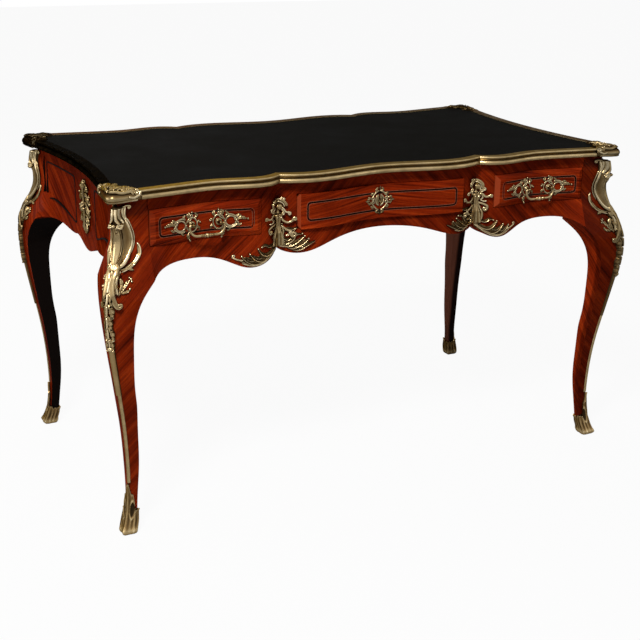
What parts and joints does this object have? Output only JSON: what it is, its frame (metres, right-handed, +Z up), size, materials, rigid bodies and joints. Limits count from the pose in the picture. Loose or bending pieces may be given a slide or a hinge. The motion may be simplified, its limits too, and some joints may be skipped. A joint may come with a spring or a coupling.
{
  "type": "writing desk",
  "caption": "Louis XV style bureau plat: serpentine leather-topped writing table on cabriole legs, with frieze drawers on slides, swinging bail handles and gilt bronze mounts.",
  "frame": {"origin": "on the floor under the middle of the desk", "axes": "+X to the sitter's right as seen from the drawer side, +Y away from the drawer side, +Z up; the drawers open towards -Y"},
  "size_m": [1.3656, 0.7656, 0.787],
  "materials": {
    "mahogany": "french polished veneer",
    "oak": "plain oiled oak",
    "gilt_bronze": "antique gilt, dark in the recesses",
    "lock_brass": "filed brass",
    "leather": "black writing leather with a low sheen"
  },
  "bodies": {
    "carcass": {"back_dummy_fronts": "mahogany", "back_escutcheon": "gilt_bronze", "back_handle_plates": "gilt_bronze", "back_panel": "mahogany", "corner_chute_back_left": "gilt_bronze", "corner_chute_back_right": "gilt_bronze", "corner_chute_front_left": "gilt_bronze", "corner_chute_front_right": "gilt_bronze", "corner_clasp_back_left": "gilt_bronze", "corner_clasp_back_right": "gilt_bronze", "corner_clasp_front_left": "gilt_bronze", "corner_clasp_front_right": "gilt_bronze", "drawer_bearers": "oak", "drawer_dividers": "mahogany", "drawer_kickers": "oak", "drawer_stops": "oak", "end_mount_left": "gilt_bronze", "end_mount_right": "gilt_bronze", "end_panel_left": "mahogany", "end_panel_right": "mahogany", "espagnolette_back_left": "gilt_bronze", "espagnolette_back_right": "gilt_bronze", "espagnolette_front_left": "gilt_bronze", "espagnolette_front_right": "gilt_bronze", "front_apron": "mahogany", "front_top_rail": "mahogany", "knee_blocks": "mahogany", "leather_panel": "leather", "leg_back_left": "mahogany", "leg_back_right": "mahogany", "leg_edge_fillets": "gilt_bronze", "leg_front_left": "mahogany", "leg_front_right": "mahogany", "rim_back": "gilt_bronze", "rim_front": "gilt_bronze", "rim_left": "gilt_bronze", "rim_right": "gilt_bronze", "sabot_back_left": "gilt_bronze", "sabot_back_right": "gilt_bronze", "sabot_front_left": "gilt_bronze", "sabot_front_right": "gilt_bronze", "top_board": "oak"},
    "left_drawer": {"left_drawer_front": "mahogany", "left_drawer_box": "oak", "left_drawer_bottom": "oak", "left_handle_plates": "gilt_bronze"},
    "centre_drawer": {"centre_drawer_front": "mahogany", "centre_drawer_box": "oak", "centre_drawer_bottom": "oak", "centre_escutcheon": "gilt_bronze", "lock_case": "lock_brass"},
    "right_drawer": {"right_drawer_front": "mahogany", "right_drawer_box": "oak", "right_drawer_bottom": "oak", "right_handle_plates": "gilt_bronze"},
    "left_bail": {"left_bail": "gilt_bronze"},
    "right_bail": {"right_bail": "gilt_bronze"},
    "back_left_bail": {"back_left_bail": "gilt_bronze"},
    "back_right_bail": {"back_right_bail": "gilt_bronze"},
    "lock_bolt": {"lock_bolt": "lock_brass"}
  },
  "joints": [
    {"name": "left_drawer_slide", "type": "slide", "parent": "carcass", "child": "left_drawer", "axis": [0, -1, 0], "range_m": [0, 0.26]},
    {"name": "centre_drawer_slide", "type": "slide", "parent": "carcass", "child": "centre_drawer", "axis": [0, -1, 0], "range_m": [0, 0.26]},
    {"name": "right_drawer_slide", "type": "slide", "parent": "carcass", "child": "right_drawer", "axis": [0, -1, 0], "range_m": [0, 0.26]},
    {"name": "left_bail_hinge", "type": "hinge", "parent": "left_drawer", "child": "left_bail", "pos_m": [-0.4375, -0.338, 0.69], "axis": [-1, 0, 0], "range_deg": [0, 80]},
    {"name": "back_left_bail_hinge", "type": "hinge", "parent": "carcass", "child": "back_left_bail", "pos_m": [-0.4375, 0.338, 0.69], "axis": [1, 0, 0], "range_deg": [0, 80]},
    {"name": "right_bail_hinge", "type": "hinge", "parent": "right_drawer", "child": "right_bail", "pos_m": [0.4375, -0.338, 0.69], "axis": [-1, 0, 0], "range_deg": [0, 80]},
    {"name": "back_right_bail_hinge", "type": "hinge", "parent": "carcass", "child": "back_right_bail", "pos_m": [0.4375, 0.338, 0.69], "axis": [1, 0, 0], "range_deg": [0, 80]},
    {"name": "lock_bolt_slide", "type": "slide", "parent": "centre_drawer", "child": "lock_bolt", "axis": [0, 0, 1], "range_m": [0, 0.008]}
  ]
}
